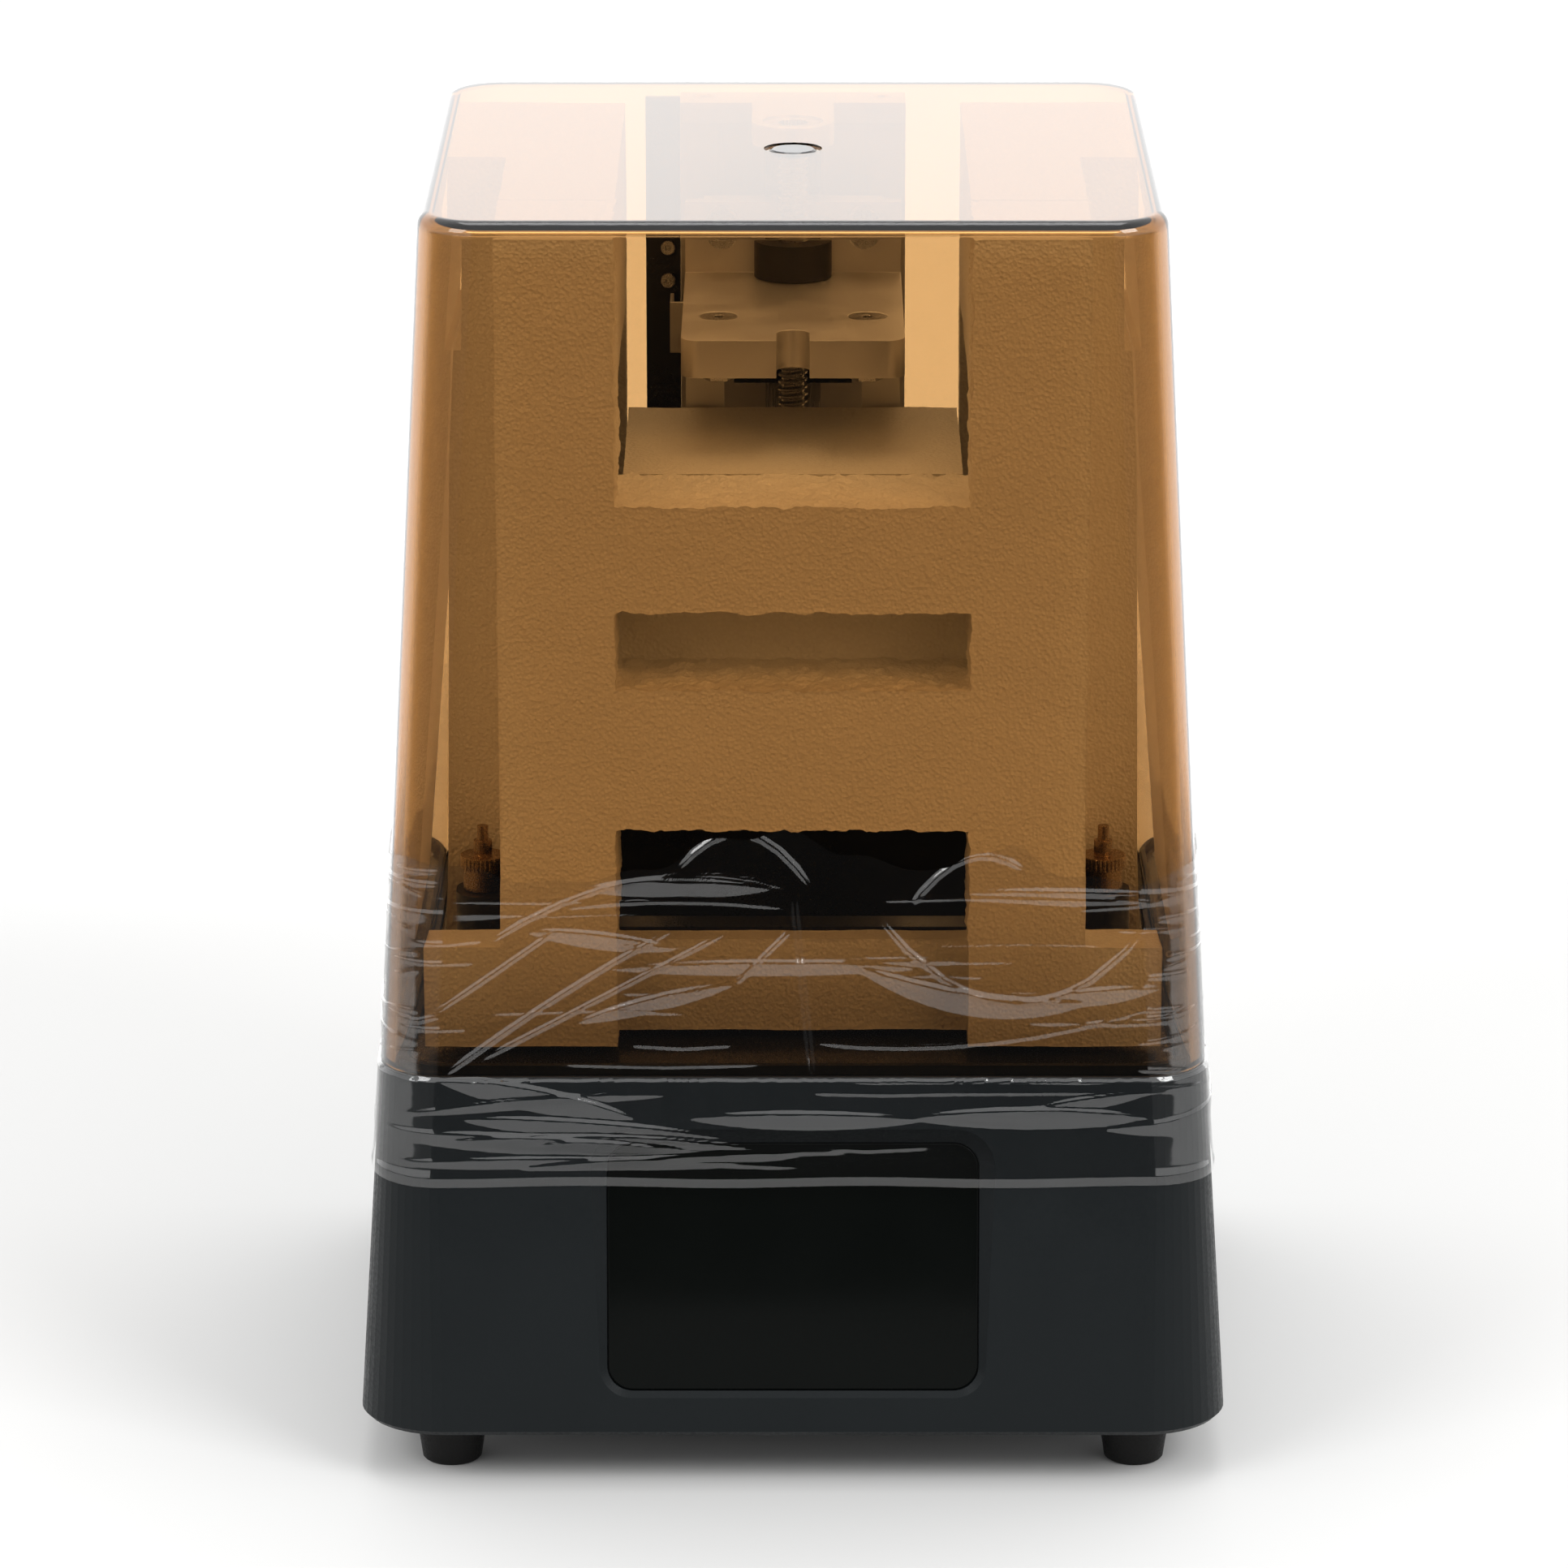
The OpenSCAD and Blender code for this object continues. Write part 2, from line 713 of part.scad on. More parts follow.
// Light-gate switch: a fork that the saddle's tab drops into at the lowest position
module limit_switch() {
    low = 151;
    fork_h = 13;
    slot = 3.6;
    color([0.06, 0.06, 0.07]) difference() {
        union() {
            translate([-39.6, column_y - 13, low]) cube([13.6, 13 - gap, fork_h]);
            translate([-39.6, column_y - 1, low]) cube([8.8, 4 - gap, fork_h]);
        }
        translate([tab_x - slot / 2, column_y - 14, low - 1]) cube([slot, 9, fork_h + 2]);
    }
}

// ---------- vat ----------

module film_screw_places() {
    for (x = [-60 : 30 : 60], s = [-1, 1]) translate([x, s * (vat_in_d / 2 + 4.6)]) children();
    for (y = [-24, 24], s = [-1, 1]) translate([s * (vat_in_w / 2 + 2.9), y]) children();
}

module vat_frame() {
    color([0.05, 0.05, 0.055]) difference() {
        union() {
            translate([0, vat_y, 0]) plate(vat_w, vat_d, vat_top - vat_z, 12, vat_z);
            for (s = [-1, 1]) translate([s * 74, optics_y, 0]) plate(31, 17, lug_top - vat_z, 7, vat_z);
        }
        translate([0, optics_y, 0]) plate(vat_in_w, vat_in_d, 40, 7, vat_z - 1);
        for (s = [-1, 1]) translate([s * lug_x, optics_y, vat_z - 1]) cylinder(r = 2.4, h = 30);
        translate([0, optics_y, vat_z - 1]) film_screw_places() cylinder(r = 1.15, h = 8);
    }
}

module film_frame() {
    color([0.12, 0.12, 0.13]) difference() {
        translate([0, optics_y, 0]) ring(vat_w - 2, vat_d - 4, 8, (vat_w - 2 - vat_in_w) / 2, 1.5, 110.4);
        translate([0, optics_y, vat_z - 5]) film_screw_places() cylinder(r = 1.15, h = 8);
    }
}

module release_film() {
    color([0.8, 0.85, 0.9, 0.5]) translate([0, optics_y, 0]) plate(vat_w - 3, vat_d - 5, 0.15, 7, 110.15);
}

module vat_screws() {
    color([0.55, 0.55, 0.57]) translate([0, optics_y, 110.5]) film_screw_places() cylinder(r = 1, h = 7);
}

// Knurled screw that holds one side of the vat down
module thumbscrew() {
    knurls = 30;
    color([0.72, 0.55, 0.33]) translate([0, optics_y, 0]) {
        translate([0, 0, 106]) cylinder(r = 2, h = 30);
        translate([0, 0, lug_top + 0.3]) cylinder(r = 5.2, h = 5.8);
        translate([0, 0, 138.5 - eps]) difference() {
            cylinder(r = 6, h = 3.5);
            for (a = [0 : 360 / knurls : 359])
                rotate(a) translate([6.2, 0, -1]) cylinder(r = 0.45, h = 6, $fn = 4);
        }
        translate([0, 0, 142 - 2 * eps]) cylinder(r = 2.5, h = 4);
        translate([0, 0, 146 - 3 * eps]) cylinder(r = 1.5, h = 4);
    }
}

module thumbscrew_left() {
    translate([-lug_x, 0, 0]) thumbscrew();
}

module thumbscrew_right() {
    translate([lug_x, 0, 0]) thumbscrew();
}

// ---------- Z axis, moving parts ----------

module rail_block() {
    color([0.07, 0.07, 0.08]) difference() {
        translate([-block_w / 2, block_y, block_z]) cube([block_w, 12, block_l]);
        translate([-rail_w / 2 - rail_gap, column_y - rail_h - rail_gap, block_z - 1])
            cube([rail_w + 2 * rail_gap, 20, block_l + 2]);
        translate([0, block_y - 1, block_z + block_l / 2]) rotate([-90, 0, 0])
            corners(block_screw[0], block_screw[1]) cylinder(r = 1.6, h = 6);
    }
}

// The arm's bolts, drawn pointing to the back
module bolt_places() {
    for (x = [-bolt_x, bolt_x], z = bolt_z) translate([x, 0, z]) rotate([-90, 0, 0]) children();
}

// Carries the arm on the rail block; its left edge ends in the tab that trips the limit switch
module saddle_plate() {
    front = block_y - saddle_t + gap;
    tab_h = 14;
    color([0.7, 0.71, 0.73]) difference() {
        union() {
            translate([-24, front, wall_z[0]]) cube([48, saddle_t - 2 * gap, wall_z[1] - wall_z[0]]);
            translate([tab_x - 0.5, front, wall_z[0]]) cube([-23 - tab_x, 1, tab_h]);
            translate([tab_x - 0.5, front, wall_z[0]]) cube([1, 11.5, tab_h]);
        }
        translate([0, block_y - 6, block_z + block_l / 2]) rotate([-90, 0, 0])
            corners(block_screw[0], block_screw[1]) cylinder(r = 1.6, h = 8);
        translate([0, block_y - 6, 0]) bolt_places() cylinder(r = 2.65, h = 8);
    }
}

module platform_arm() {
    notch_w = 8.6;
    notch_l = 12.5;
    color([0.75, 0.74, 0.72]) difference() {
        union() {
            intersection() {
                translate([0, 22, 0]) plate(arm_w, 2 * (22 - arm_front), arm_t, 4.5, arm_z - arm_t);
                translate([-50, arm_front - 5, 0]) cube([100, 58.9 - arm_front + 5, 400]);
            }
            translate([-arm_w / 2, wall_y, wall_z[0]]) cube([arm_w, 4.5, wall_z[1] - wall_z[0]]);
        }
        translate([0, arm_front + notch_l - notch_w / 2, 200]) cylinder(r = notch_w / 2, h = 150);
        translate([-notch_w / 2, arm_front - 5, 200]) cube([notch_w, notch_l + 5 - notch_w / 2, 150]);
        translate([0, screw_y, 200]) cylinder(r = 6.2, h = arm_z + 0.5 - 200);
        translate([0, screw_y, 250]) cylinder(r = screw_d / 2 + 0.6, h = 60);
        for (s = [-1, 1])
            translate([s * platform_screw[0], platform_screw[1], arm_z]) flush_hole(5, 20, 10.2);
        translate([0, wall_y - 4, 0]) bolt_places() cylinder(r = 2.65, h = 20);
    }
}

module arm_bolts() {
    color([0.62, 0.62, 0.64]) translate([0, wall_y - gap, 0]) bolt_places() mirror([0, 0, 1])
        cap_screw(5, 8.2, 8.5, 5, 4);
}

module platform_screws() {
    color([0.66, 0.66, 0.68]) for (s = [-1, 1]) translate([s * platform_screw[0], platform_screw[1], 0]) {
        translate([0, 0, arm_z - 0.05]) flush_screw(5, 16, 10, 3);
        translate([0, 0, arm_z - arm_t - bracket_t - 4.3]) difference() {
            cylinder(r = 4.6, h = 4, $fn = 6);
            translate([0, 0, -1]) cylinder(r = 2.6, h = 6);
        }
    }
}

// Two C-shaped straps on one foot plate, open at the front where the foam block sits
module platform_bracket() {
    top = arm_z - arm_t - gap;
    low = plate_z + plate_t + gap;
    outer = bracket_w / 2;
    color([0.7, 0.7, 0.71]) difference() {
        union() {
            translate([-outer, bracket_y0, low]) cube([bracket_w, bracket_y1 - bracket_y0, bracket_t]);
            for (s = [0, 1]) mirror([s, 0, 0]) {
                translate([outer - leg_w, bracket_y1 - bracket_t, low]) cube([leg_w, bracket_t, top - low]);
                translate([outer - tab_w, tab_y0, top - bracket_t])
                    cube([tab_w, bracket_y1 - tab_y0, bracket_t]);
            }
        }
        for (s = [-1, 1]) translate([s * platform_screw[0], platform_screw[1], top - 5])
            cylinder(r = 2.65, h = 9);
        translate([0, -6, low - 1]) corners(bracket_screw[0], bracket_screw[1]) cylinder(r = 2.15, h = 5);
    }
}

module build_plate() {
    color([0.78, 0.79, 0.8]) difference() {
        translate([0, optics_y, 0]) plate(lit_w, lit_d, plate_t, 3, plate_z);
        translate([0, -6, plate_z + 3]) corners(bracket_screw[0], bracket_screw[1])
            cylinder(r = 2.15, h = 9);
    }
}

module build_plate_screws() {
    color([0.6, 0.6, 0.62]) translate([0, -6, plate_z + plate_t + bracket_t + 0.2])
        corners(bracket_screw[0], bracket_screw[1]) cap_screw(4, 9, 7, 3.2, 2.5);
}

module lead_nut() {
    color([0.06, 0.06, 0.06]) translate([0, screw_y, 0]) difference() {
        union() {
            difference() {
                translate([0, 0, arm_z + gap]) cylinder(r = nut_r, h = nut_h);
                translate([-20, wall_y - screw_y - gap, arm_z - 1]) cube([40, 20, 20]);
            }
            translate([0, 0, arm_z - arm_t - 2]) intersection() {
                cylinder(r = 6.1, h = arm_t + 3);
                translate([-20, -20, 0]) cube([40, 20 + wall_y - screw_y - gap, 20]);
            }
        }
        translate([0, 0, arm_z - 20]) cylinder(r = screw_d / 2 + turn_gap, h = 40);
    }
}

// ---------- cover and packing ----------

module cover_solid(inset, top) {
    hull() {
        low_w = cover_w - 2 * inset;
        low_z = seam_z + body_gap - (inset > 0 ? 1 : 0);
        plate(low_w, low_w, eps, cover_r - inset * 0.8, low_z);
        for (a = [0 : 18 : 90]) {
            edge = cover_edge_r - inset * 0.6;
            draw_in = 2 * edge * (1 - cos(a));
            w = 2 * cover_half(top - edge) - 2 * inset - draw_in;
            plate(w, w, eps, cover_top_r - inset * 0.8 - draw_in / 2, top - edge + edge * sin(a) - eps);
        }
    }
}

module cover_shell() {
    color([0.75, 0.42, 0.12, 0.4]) difference() {
        cover_solid(0, total_h);
        cover_solid(cover_wall, total_h - cover_wall);
        translate([0, 0, total_h - 0.6]) cylinder(r = 7.65, h = 5);
        translate([0, 0, total_h - 10]) cylinder(r = 6.1, h = 20);
    }
}

module cover_plug() {
    color([0.85, 0.8, 0.75]) {
        translate([0, 0, total_h - 2.5]) cylinder(r = 6, h = 2);
        translate([0, 0, total_h - 0.5 - eps]) cylinder(r1 = 6, r2 = 5.4, h = 0.4);
    }
}

module packing_foam_front() {
    web = 4;
    low_back = -66;
    color([0.9, 0.9, 0.88]) difference() {
        union() {
            translate([-foam_half, foam_front, foam_low])
                cube([2 * foam_half, foam_back - foam_front, foam_top - foam_low]);
            translate([-wing_x, foam_front, foam_low])
                cube([2 * wing_x, wing_y - foam_front, wing_z - foam_low]);
        }
        translate([-foam_half - 1, low_back, foam_low - 1])
            cube([2 * foam_half + 2, 40, slot_z[0] - foam_low + 1]);
        translate([-window_half, foam_front - 1, ledge_z]) cube([2 * window_half, 60, 100]);
        translate([-window_half, foam_front - 1, pocket_z[0]])
            cube([2 * window_half, foam_back - foam_front + 1 - web, pocket_z[1] - pocket_z[0]]);
        translate([-window_half, foam_front - 1, recess_z])
            cube([2 * window_half, 60, slot_z[1] - recess_z]);
        translate([-window_half, foam_front - 1, foam_low - 1])
            cube([2 * window_half, recess_y - foam_front + 1, recess_z - foam_low + 2]);
    }
}

// One side block, drawn on the right
module foam_side() {
    back = 76;
    low = slot_z[0];
    depth = back - foam_back - 0.5;
    color([0.9, 0.9, 0.88]) union() {
        translate([69, foam_back + 0.5, low]) cube([foam_half - 69, depth, foam_top - low]);
        translate([69, 2, low]) cube([21.5, back - 2, foam_top - low]);
        translate([77.6, 2, foam_low]) cube([foam_reach - 77.6, back - 2, foam_clear_z - foam_low]);
        translate([45, 62, low]) cube([25, back - 62, foam_top - low]);
        translate([45, foam_back + 0.5, foam_clear_z]) cube([25, depth, foam_top - foam_clear_z]);
    }
}

module packing_foam_right() {
    foam_side();
}

module packing_foam_left() {
    mirror([1, 0, 0]) foam_side();
}

// Block that fills the space between the platform and the arm
module packing_foam_pad() {
    low = plate_z + plate_t + 0.2;
    back = 21.5;
    color([0.9, 0.9, 0.88]) difference() {
        translate([-window_half + 1, foam_back + 0.4, low])
            cube([2 * window_half - 2, back - foam_back - 0.4, ledge_z - low]);
        translate([-bracket_w / 2 - 1, bracket_y0 - 1, low - 1])
            cube([bracket_w + 2, bracket_y1 - bracket_y0 + 2, 8]);
    }
}

module packing_film() {
    slack = 0.5;
    function corner_r(z) = z < seam_z ? cover_r + 2 : cover_r;
    color([0.9, 0.92, 0.95, 0.3]) difference() {
        hull() for (z = [film_low_z, seam_z, film_high_z]) {
            w = 2 * (max(z <= seam_z ? base_half(z) : 0, cover_half(z)) + slack + film_t);
            plate(w, w, eps, corner_r(z) + film_t, z);
        }
        hull() for (z = [film_low_z - 1, seam_z, film_high_z + 1]) {
            w = 2 * (max(z <= seam_z ? base_half(z) : 0, cover_half(z)) + slack);
            plate(w, w, eps, corner_r(z), z);
        }
    }
}

base_shell();
bottom_plate();
bottom_screws();
rubber_feet();
deck_plate();
deck_screws();
cover_seal();
screen_glass();
screen_module();
mask_lcd();
lens_array();
light_tunnel();
led_board();
led_heatsink();
standoffs();
led_fan_frame();
led_fan_rotor();
main_board();
flat_cables();
rear_panel();
dc_inlet();
usb_port();
switch_housing();
power_rocker();
rear_fan_frame();
rear_fan_rotor();
rear_fan_guard();
fan_screws();
z_column();
column_cap();
column_screws();
top_bearing();
linear_rail();
z_motor();
lead_screw();
sensor_plate();
sensor_screws();
limit_switch();
vat_frame();
film_frame();
release_film();
vat_screws();
thumbscrew_left();
thumbscrew_right();
rail_block();
saddle_plate();
platform_arm();
arm_bolts();
platform_screws();
platform_bracket();
build_plate();
build_plate_screws();
lead_nut();
cover_shell();
cover_plug();
packing_foam_front();
packing_foam_left();
packing_foam_right();
packing_foam_pad();
packing_film();
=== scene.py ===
import json
import math
import random

import bmesh
import bpy
import numpy as np
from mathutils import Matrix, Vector, noise


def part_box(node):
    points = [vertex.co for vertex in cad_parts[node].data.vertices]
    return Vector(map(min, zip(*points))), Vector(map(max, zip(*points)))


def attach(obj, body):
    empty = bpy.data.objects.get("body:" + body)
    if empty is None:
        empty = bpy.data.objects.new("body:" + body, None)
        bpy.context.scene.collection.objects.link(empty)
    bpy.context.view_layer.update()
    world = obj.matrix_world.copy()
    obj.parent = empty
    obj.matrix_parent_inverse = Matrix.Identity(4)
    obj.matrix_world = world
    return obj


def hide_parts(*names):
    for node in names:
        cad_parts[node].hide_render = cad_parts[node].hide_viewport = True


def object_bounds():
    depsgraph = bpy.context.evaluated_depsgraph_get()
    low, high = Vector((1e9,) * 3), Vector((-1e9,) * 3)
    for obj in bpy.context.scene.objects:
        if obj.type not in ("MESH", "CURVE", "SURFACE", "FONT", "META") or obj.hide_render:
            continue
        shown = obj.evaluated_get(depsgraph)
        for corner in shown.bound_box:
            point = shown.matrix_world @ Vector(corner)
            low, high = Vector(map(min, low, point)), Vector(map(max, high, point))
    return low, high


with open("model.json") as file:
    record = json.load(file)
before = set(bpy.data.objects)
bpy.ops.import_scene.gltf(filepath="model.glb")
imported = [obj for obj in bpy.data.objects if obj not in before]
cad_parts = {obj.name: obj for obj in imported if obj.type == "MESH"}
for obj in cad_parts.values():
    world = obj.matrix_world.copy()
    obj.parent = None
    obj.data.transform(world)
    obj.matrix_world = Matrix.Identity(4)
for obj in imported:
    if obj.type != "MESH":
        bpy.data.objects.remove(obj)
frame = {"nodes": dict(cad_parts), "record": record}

CAD_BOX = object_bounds()
NODES = frame["nodes"]
MM = 0.001

# ---------------------------------------------------------------- camera
CAM_Y = -1.9018
CAM_Z = 0.7130
CAM_PITCH = 16.28
LENS = 170.48
CAM_SHIFT = -0.0057

camera = bpy.data.objects.new("camera", bpy.data.cameras.new("camera"))
bpy.context.scene.collection.objects.link(camera)
camera.location = (0, CAM_Y, CAM_Z)
camera.rotation_euler = (math.radians(90 - CAM_PITCH), 0, 0)
camera.data.lens = LENS
camera.data.sensor_width = 36
camera.data.shift_x = CAM_SHIFT
camera.data.clip_end = 50
bpy.context.scene.camera = camera
bpy.context.scene.view_settings.view_transform = "Standard"


# ---------------------------------------------------------------- node helpers
class Graph:
    """Adds nodes to one node tree; an input is a number, a tuple or another node's output socket."""

    def __init__(self, tree):
        self.tree = tree

    def add(self, kind, ins=None, **props):
        node = self.tree.nodes.new(kind)
        for key, value in props.items():
            setattr(node, key, value)
        for key, value in (ins or {}).items():
            self.put(node.inputs[key], value)
        return node

    def put(self, socket, value):
        if isinstance(value, bpy.types.NodeSocket):
            self.tree.links.new(value, socket)
        else:
            socket.default_value = value

    def math(self, op, a, b=0.0, clamp=False):
        node = self.add("ShaderNodeMath", operation=op, use_clamp=clamp)
        self.put(node.inputs[0], a)
        self.put(node.inputs[1], b)
        return node.outputs[0]

    def remap(self, value, low, high, to_low=0.0, to_high=1.0, smooth=True):
        node = self.add("ShaderNodeMapRange", {"Value": value, "From Min": low, "From Max": high,
                                               "To Min": to_low, "To Max": to_high})
        if smooth:
            node.interpolation_type = "SMOOTHSTEP"
        return node.outputs[0]

    def mix(self, factor, a, b):
        node = self.add("ShaderNodeMix", data_type="RGBA")
        self.put(node.inputs[0], factor)
        self.put(node.inputs[6], a)
        self.put(node.inputs[7], b)
        return node.outputs[2]

    def noise(self, where, size, detail=2.0, rough=0.5):
        """Noise whose features are about `size` metres across."""
        node = self.add("ShaderNodeTexNoise", {"Vector": where, "Scale": 1.0 / size, "Detail": detail,
                                               "Roughness": rough})
        return node.outputs[0]

    def stretched(self, scale):
        where = self.add("ShaderNodeTexCoord").outputs["Object"]
        return self.add("ShaderNodeMapping", {"Vector": where, "Scale": scale}).outputs[0]


def material(name):
    made = bpy.data.materials.new(name)
    made.use_nodes = True
    made.node_tree.nodes.clear()
    return made, Graph(made.node_tree)


def rgba(c, k=1.0):
    return (min(c[0] * k, 1), min(c[1] * k, 1), min(c[2] * k, 1), 1)


def finish(name, color, rough, metallic=0.0, grain=0.0004, bump=0.15, depth=0.00005, tone=0.12,
           tone_size=0.02, rough_vary=0.08, stretch=(1, 1, 1), specular=0.5, coat=0.0, sheen=0.0):
    """A hard surface: slow tone changes and fine grain, stretched along one axis if it is brushed."""
    made, g = material(name)
    where = g.add("ShaderNodeTexCoord").outputs["Object"]
    grain_at = g.stretched(stretch)
    slow = g.noise(where, tone_size, 3.0)
    fine = g.noise(grain_at, grain, 2.0)
    color_out = g.mix(slow, rgba(color, 1 - tone), rgba(color, 1 + tone))
    color_out = g.mix(g.remap(fine, 0.35, 0.75, 0.0, 0.35), color_out, rgba(color, 1 - 1.6 * tone))
    rough_out = g.math("ADD", g.remap(fine, 0.3, 0.7, rough - rough_vary, rough + rough_vary),
                       g.remap(slow, 0.3, 0.7, -rough_vary * 0.5, rough_vary * 0.5), clamp=True)
    bumped = g.add("ShaderNodeBump", {"Strength": bump, "Distance": depth, "Height": fine})
    shader = g.add("ShaderNodeBsdfPrincipled", {
        "Base Color": color_out, "Roughness": rough_out, "Metallic": metallic, "Normal": bumped.outputs[0],
        "Specular IOR Level": specular, "Coat Weight": coat, "Coat Roughness": 0.1, "Sheen Weight": sheen})
    g.add("ShaderNodeOutputMaterial", {"Surface": shader.outputs[0]})
    return made


def schlick(g, base=0.04):
    """Mirror share of a thin clear sheet, the same from both sides."""
    facing = g.add("ShaderNodeLayerWeight", {"Blend": 0.5}).outputs["Facing"]
    return g.math("ADD", g.math("MULTIPLY", g.math("POWER", facing, 5.0), 1 - base), base, clamp=True)


# ---------------------------------------------------------------- mesh helpers
def mesh_object(name, verts, faces, smooth=True):
    mesh = bpy.data.meshes.new(name)
    mesh.from_pydata([tuple(v) for v in verts], [], faces)
    mesh.validate()
    obj = bpy.data.objects.new(name, mesh)
    bpy.context.scene.collection.objects.link(obj)
    if smooth:
        mesh.shade_smooth()
    return obj


def outward(obj):
    work = bmesh.new()
    work.from_mesh(obj.data)
    bmesh.ops.recalc_face_normals(work, faces=work.faces)
    work.to_mesh(obj.data)
    work.free()


def applied(obj):
    """Replaces the object's mesh by what its modifiers make of it."""
    graph = bpy.context.evaluated_depsgraph_get()
    made = bpy.data.meshes.new_from_object(obj.evaluated_get(graph))
    obj.modifiers.clear()
    obj.data = made
    return obj


def sharp_edges(mesh, degrees):
    """Keeps the shading break at every edge steeper than this."""
    work = bmesh.new()
    work.from_mesh(mesh)
    for e in work.edges:
        e.smooth = e.calc_face_angle(0) < math.radians(degrees)
    work.to_mesh(mesh)
    work.free()


def square_ring(half, r, corner_steps, side_steps):
    """Points and normals round a square with round corners, counter-clockwise from the front left."""
    out = []
    flat = half - r
    for k in range(4):
        ca, sa = [(1, 0), (0, 1), (-1, 0), (0, -1)][k]
        local = []
        for i in range(side_steps):
            local.append((-flat + 2 * flat * i / side_steps, -half, 0.0, -1.0))
        for i in range(corner_steps):
            a = math.radians(-90 + 90 * i / corner_steps)
            local.append((flat + r * math.cos(a), -flat + r * math.sin(a), math.cos(a), math.sin(a)))
        for x, y, nx, ny in local:
            out.append((x * ca - y * sa, x * sa + y * ca, nx * ca - ny * sa, nx * sa + ny * ca))
    return out


def loft(rings, closed_ends=False):
    """Joins rings of equal length by quads."""
    n = len(rings[0])
    verts = [v for ring in rings for v in ring]
    faces = []
    for k in range(len(rings) - 1):
        for i in range(n):
            j = (i + 1) % n
            faces.append((k * n + i, k * n + j, (k + 1) * n + j, (k + 1) * n + i))
    if closed_ends:
        faces.append(tuple(range(n))[::-1])
        faces.append(tuple((len(rings) - 1) * n + i for i in range(n)))
    return verts, faces


def lerp(a, b, t):
    return a + (b - a) * t


# ---------------------------------------------------------------- sizes shared with the CAD
SEAM_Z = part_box("deck_plate")[1].z
TOP_Z = CAD_BOX[1].z
COVER_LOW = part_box("cover_shell")[0].z
FOOT_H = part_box("base_shell")[0].z
BASE_W = CAD_BOX[1].x - CAD_BOX[0].x
BASE_TOP_W = 0.2122
COVER_W = 2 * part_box("cover_shell")[1].x
COVER_TOP_W = 0.1882
WALL = 0.003
PLUG_R, HOLE_R, PLUG_LEDGE = 0.00765, 0.0061, 0.0006


def base_half(z):
    return lerp(BASE_W, BASE_TOP_W, (z - FOOT_H) / (SEAM_Z - FOOT_H)) / 2


def cover_half(z):
    return lerp(COVER_W, COVER_TOP_W, (z - SEAM_Z) / (TOP_Z - SEAM_Z)) / 2


# ---------------------------------------------------------------- finishes by material slot
METAL = {"metallic": 1.0}
SLOTS = {
    "base_plastic": dict(color=(0.0050, 0.0066, 0.0074), rough=0.40, grain=0.0009, bump=0.35, depth=0.00006,
                         tone=0.05, specular=0.14),
    "black_plastic": dict(color=(0.012, 0.012, 0.013), rough=0.45, grain=0.0007, bump=0.3),
    "foot_rubber": dict(color=(0.0060, 0.0058, 0.0056), rough=0.55, grain=0.0006, bump=0.4, specular=0.2),
    "deck_metal": dict(color=(0.018, 0.019, 0.020), rough=0.24, grain=0.0005, bump=0.3, depth=0.00005),
    "steel": dict(color=(0.55, 0.54, 0.52), rough=0.28, grain=0.0003, **METAL),
    "seal_rubber": dict(color=(0.008, 0.008, 0.008), rough=0.6),
    "screen_black_glass": dict(color=(0.0025, 0.0030, 0.0027), rough=0.10, bump=0.02, rough_vary=0.03,
                               specular=0.05),
    "circuit_board": dict(color=(0.01, 0.09, 0.04), rough=0.4, grain=0.0012, tone=0.3, tone_size=0.004),
    "display_glass": dict(color=(0.006, 0.006, 0.010), rough=0.08, bump=0.02, rough_vary=0.02),
    "clear_optics": dict(color=(0.80, 0.88, 0.92), rough=0.10, bump=0.05),
    "reflector": dict(color=(0.80, 0.81, 0.83), rough=0.15, **METAL),
    "white_board": dict(color=(0.80, 0.80, 0.77), rough=0.45),
    "aluminium": dict(color=(0.70, 0.69, 0.67), rough=0.42, grain=0.00035, bump=0.5, depth=0.00004,
                      tone=0.05, **METAL),
    "brass": dict(color=(0.36, 0.25, 0.15), rough=0.26, grain=0.0003, **METAL),
    "cable": dict(color=(0.45, 0.22, 0.05), rough=0.35),
    "bearing_steel": dict(color=(0.62, 0.62, 0.63), rough=0.22, stretch=(1, 1, 0.02), **METAL),
    "screw_steel": dict(color=(0.50, 0.49, 0.47), rough=0.30, **METAL),
    "platform_metal": dict(color=(0.66, 0.66, 0.66), rough=0.5, grain=0.0006, bump=0.6, tone=0.08, **METAL),
    "vat_black": dict(color=(0.010, 0.010, 0.011), rough=0.35, grain=0.0005, bump=0.4),
    "film_clear": dict(color=(0.6, 0.62, 0.64), rough=0.12),
    "nut_black": dict(color=(0.012, 0.012, 0.012), rough=0.4),
}
MADE = {slot: finish(slot, **made) for slot, made in SLOTS.items()}


# ---------------------------------------------------------------- amber cover
def amber(name, per_wall=(0.60, 0.45, 0.28), wall=WALL):
    """Clear tinted plastic that lets per_wall of the light through a wall of this thickness."""
    made, g = material(name)
    light = g.add("ShaderNodeLightPath")
    straight = g.math("MAXIMUM", light.outputs["Is Shadow Ray"], light.outputs["Is Diffuse Ray"])
    glass = g.add("ShaderNodeBsdfGlass", {"Color": (1, 1, 1, 1), "Roughness": 0.0, "IOR": 1.49})
    thin = g.add("ShaderNodeBsdfTransparent", {"Color": (0.96, 0.96, 0.96, 1)})
    both = g.add("ShaderNodeMixShader", {0: straight, 1: glass.outputs[0], 2: thin.outputs[0]})
    loss = [-math.log(c) / wall for c in per_wall]
    densest = max(loss)
    inside = g.add("ShaderNodeVolumeAbsorption", {"Color": rgba([1 - v / densest for v in loss]),
                                                  "Density": densest})
    g.add("ShaderNodeOutputMaterial", {"Surface": both.outputs[0], "Volume": inside.outputs[0]})
    return made


